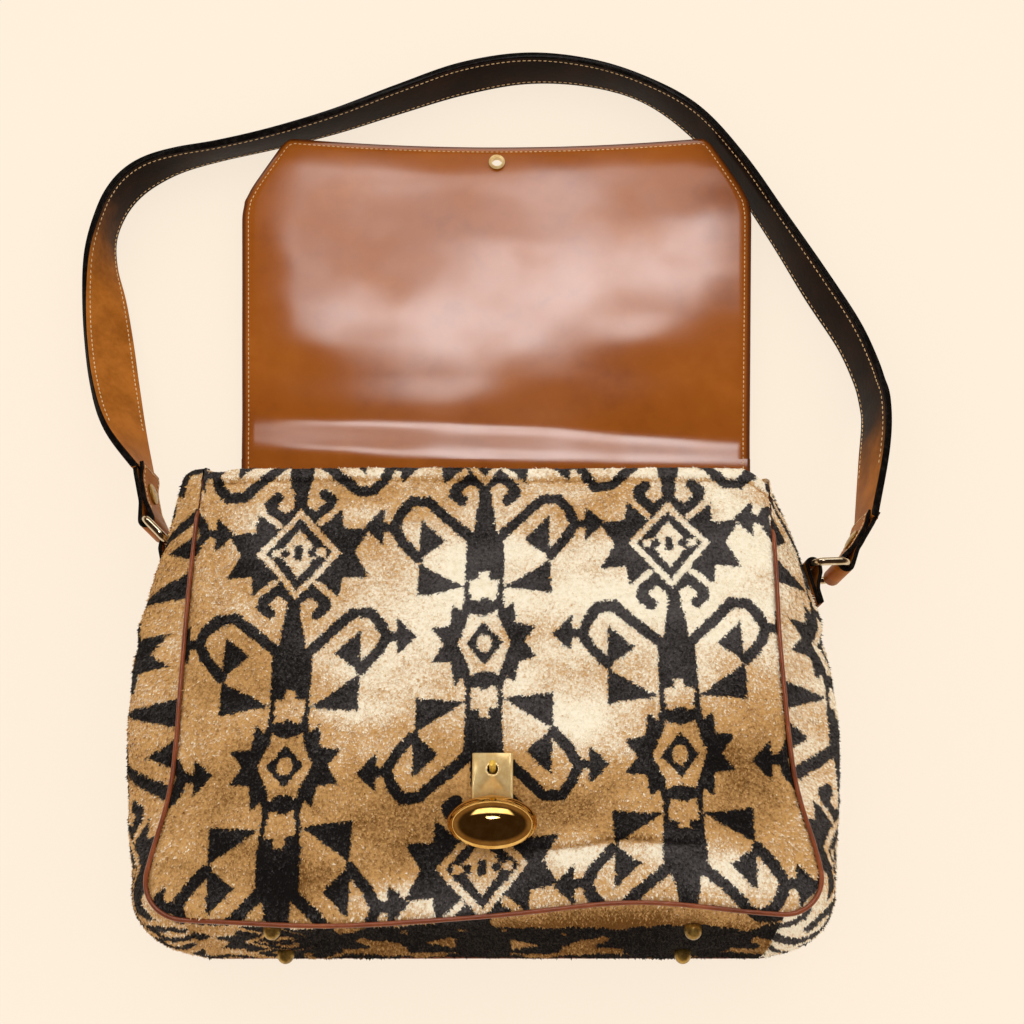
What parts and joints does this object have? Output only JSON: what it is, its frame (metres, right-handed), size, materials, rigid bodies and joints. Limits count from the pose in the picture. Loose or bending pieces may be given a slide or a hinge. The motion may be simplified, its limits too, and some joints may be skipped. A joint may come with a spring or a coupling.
{
  "type": "carpet bag",
  "caption": "Shoulder bag of patterned carpet velvet lying on its back, with a leather flap thrown open, an oval rocking clasp, base feet and a ringed leather strap.",
  "frame": {"origin": "on the outer face of the back panel, which lies on the floor, under the middle of the front panel's height and width", "axes": "+X to the bag's right as seen in the picture, +Y from the base towards the mouth and the opened flap, +Z out of the front panel"},
  "size_m": [0.5032, 0.5867, 0.1073],
  "materials": {
    "velvet": "cut pile in gold and black",
    "piping": "smooth, slightly glossy",
    "lining": "plain weave",
    "board": "pressed fibre board",
    "brass": "polished",
    "latch_steel": "plain",
    "flap_leather": "smooth, glossy",
    "strap_leather": "smooth, waxed",
    "ring_metal": "polished"
  },
  "bodies": {
    "bag": {"front_panel": "velvet", "back_panel": "velvet", "left_gusset": "velvet", "right_gusset": "velvet", "base_gusset": "velvet", "front_piping": "piping", "back_piping": "piping", "lining": "lining", "base_board": "board", "feet": "brass", "foot_washers": "brass", "flap_root": "flap_leather", "lock_plate": "brass", "lock_backplate": "latch_steel", "latch_pivot": "latch_steel", "left_ring_tab": "strap_leather", "right_ring_tab": "strap_leather", "left_ring": "ring_metal", "right_ring": "ring_metal", "strap": "strap_leather", "left_strap_end": "strap_leather", "right_strap_end": "strap_leather", "strap_rivets": "brass"},
    "flap_top": {"flap_top_outer": "flap_leather", "flap_top_inner": "flap_leather"},
    "flap_front": {"flap_front_outer": "flap_leather", "flap_front_inner": "flap_leather", "eyelet": "brass", "eyelet_washer": "brass"},
    "latch": {"latch_lever": "latch_steel", "latch_dome": "brass", "catch_pin": "brass"}
  },
  "joints": [
    {"name": "flap_hinge", "type": "hinge", "parent": "bag", "child": "flap_top", "pos_m": [0.005, 0.1163, 0.0069], "axis": [1, 0, 0], "range_deg": [0, 80.5]},
    {"name": "flap_fold", "type": "hinge", "parent": "flap_top", "child": "flap_front", "pos_m": [0.005, 0.19009, 0.0118], "axis": [1, 0, 0], "range_deg": [0, 91.4]},
    {"name": "latch_rock", "type": "hinge", "parent": "bag", "child": "latch", "pos_m": [0.005, -0.06298, 0.08857], "axis": [1, 0, 0], "range_deg": [0, 14]}
  ]
}
